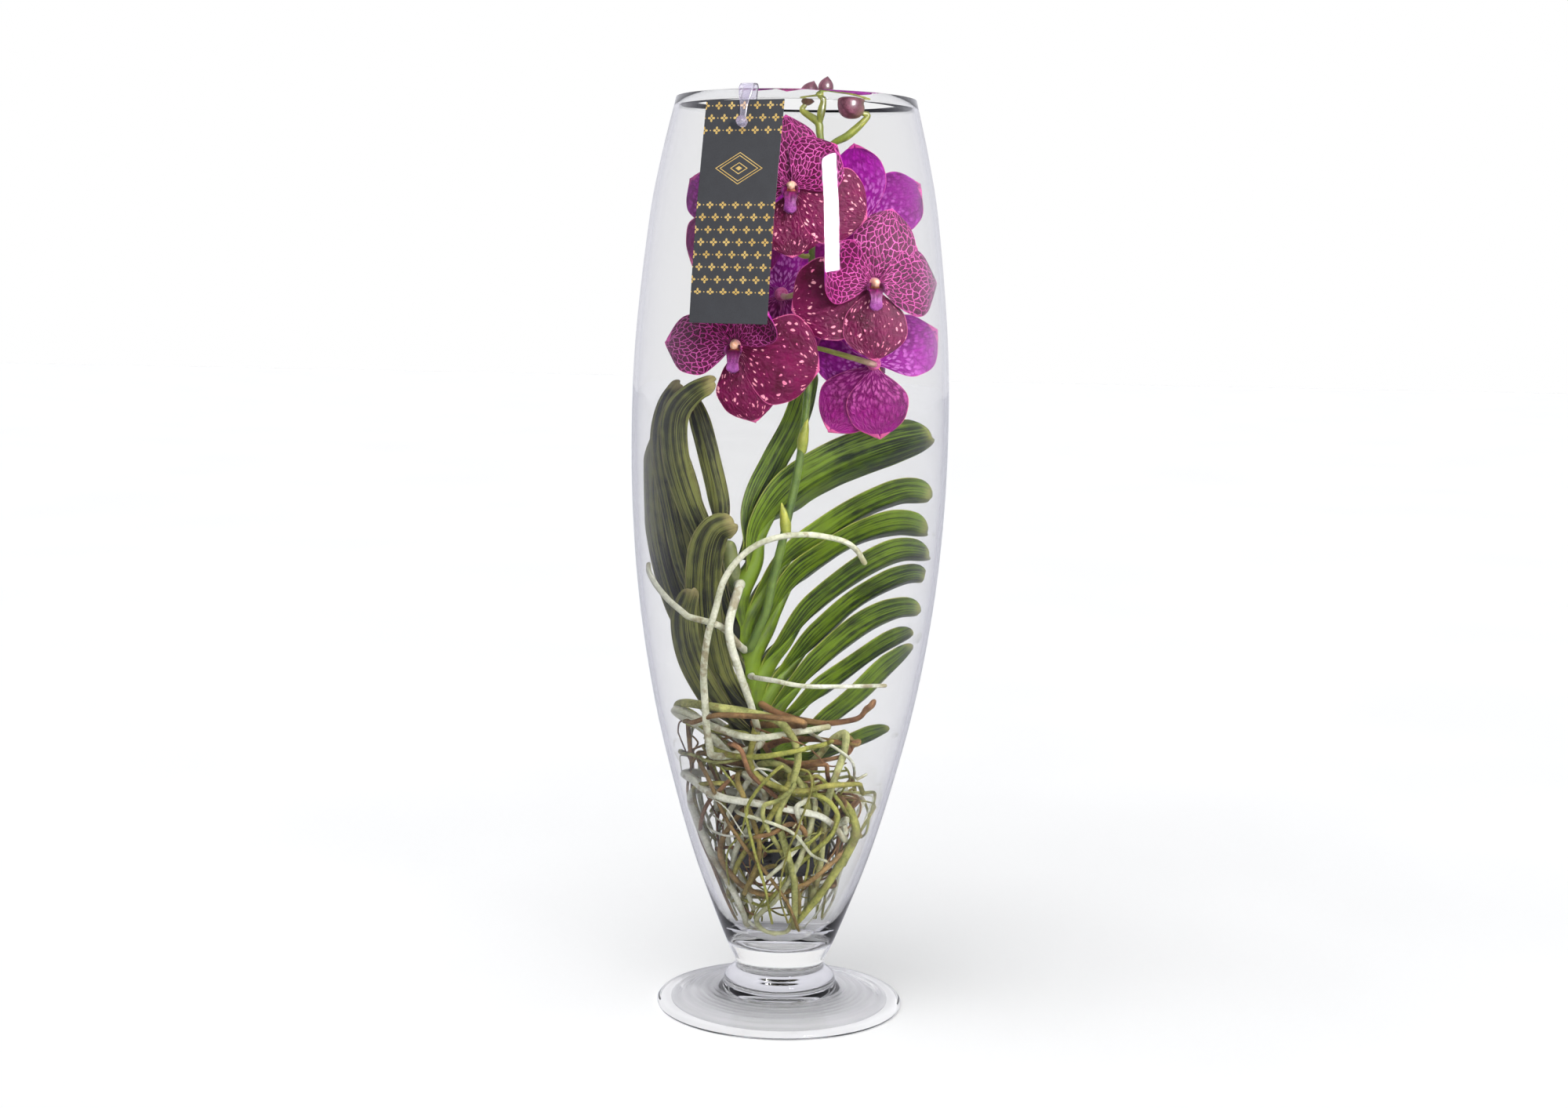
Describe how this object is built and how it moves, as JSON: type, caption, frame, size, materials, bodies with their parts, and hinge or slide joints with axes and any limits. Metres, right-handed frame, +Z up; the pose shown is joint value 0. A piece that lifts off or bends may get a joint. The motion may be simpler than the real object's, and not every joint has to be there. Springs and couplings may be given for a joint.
{
  "type": "vanda orchid in a glass vase",
  "caption": "Flowering bare-rooted orchid with strap leaves and a root tangle, standing in a tall footed barrel-shaped glass vase with a dark hang tag on its rim.",
  "frame": {"origin": "middle of the underside of the vase's foot", "axes": "+Z up along the vase's axis, -Y the front of the plant, where the tag hangs"},
  "size_m": [0.207, 0.2087, 0.6136],
  "materials": {
    "clear_glass": "clear and polished",
    "black_plastic": "satin moulded",
    "green_stem": "smooth living stem",
    "leaf_green": "waxy leaf",
    "silver_root": "dry velvety skin",
    "petal": "satin petal with a sheen",
    "flower_stalk": "smooth living stalk",
    "bud": "satin bud",
    "black_card": "matte printed card",
    "clear_plastic": "clear and glossy"
  },
  "bodies": {
    "root": {"vase": "clear_glass", "net_pot": "black_plastic", "stem": "green_stem", "leaf_right_01": "leaf_green", "leaf_right_02": "leaf_green", "leaf_right_03": "leaf_green", "leaf_right_04": "leaf_green", "leaf_right_05": "leaf_green", "leaf_right_06": "leaf_green", "leaf_right_07": "leaf_green", "leaf_right_08": "leaf_green", "leaf_right_09": "leaf_green", "leaf_right_10": "leaf_green", "leaf_left_01": "leaf_green", "leaf_left_02": "leaf_green", "leaf_left_03": "leaf_green", "leaf_left_04": "leaf_green", "leaf_left_05": "leaf_green", "leaf_left_06": "leaf_green", "leaf_left_07": "leaf_green", "aerial_root_arch": "silver_root", "aerial_root_left": "silver_root", "aerial_root_thick": "silver_root", "aerial_root_right": "silver_root", "roots": "silver_root", "flower_spike": "green_stem", "bloom_1": "petal", "bloom_2": "petal", "bloom_3": "petal", "bloom_4": "petal", "bloom_5": "petal", "bloom_6": "petal", "bloom_7": "petal", "bloom_stalk_1": "flower_stalk", "bloom_stalk_2": "flower_stalk", "bloom_stalk_3": "flower_stalk", "bloom_stalk_4": "flower_stalk", "bloom_stalk_5": "flower_stalk", "bloom_stalk_6": "flower_stalk", "bloom_stalk_7": "flower_stalk", "bud_1": "bud", "bud_2": "bud", "bud_3": "bud", "hang_tag": "black_card", "tag_hook": "clear_plastic"}
  },
  "joints": []
}
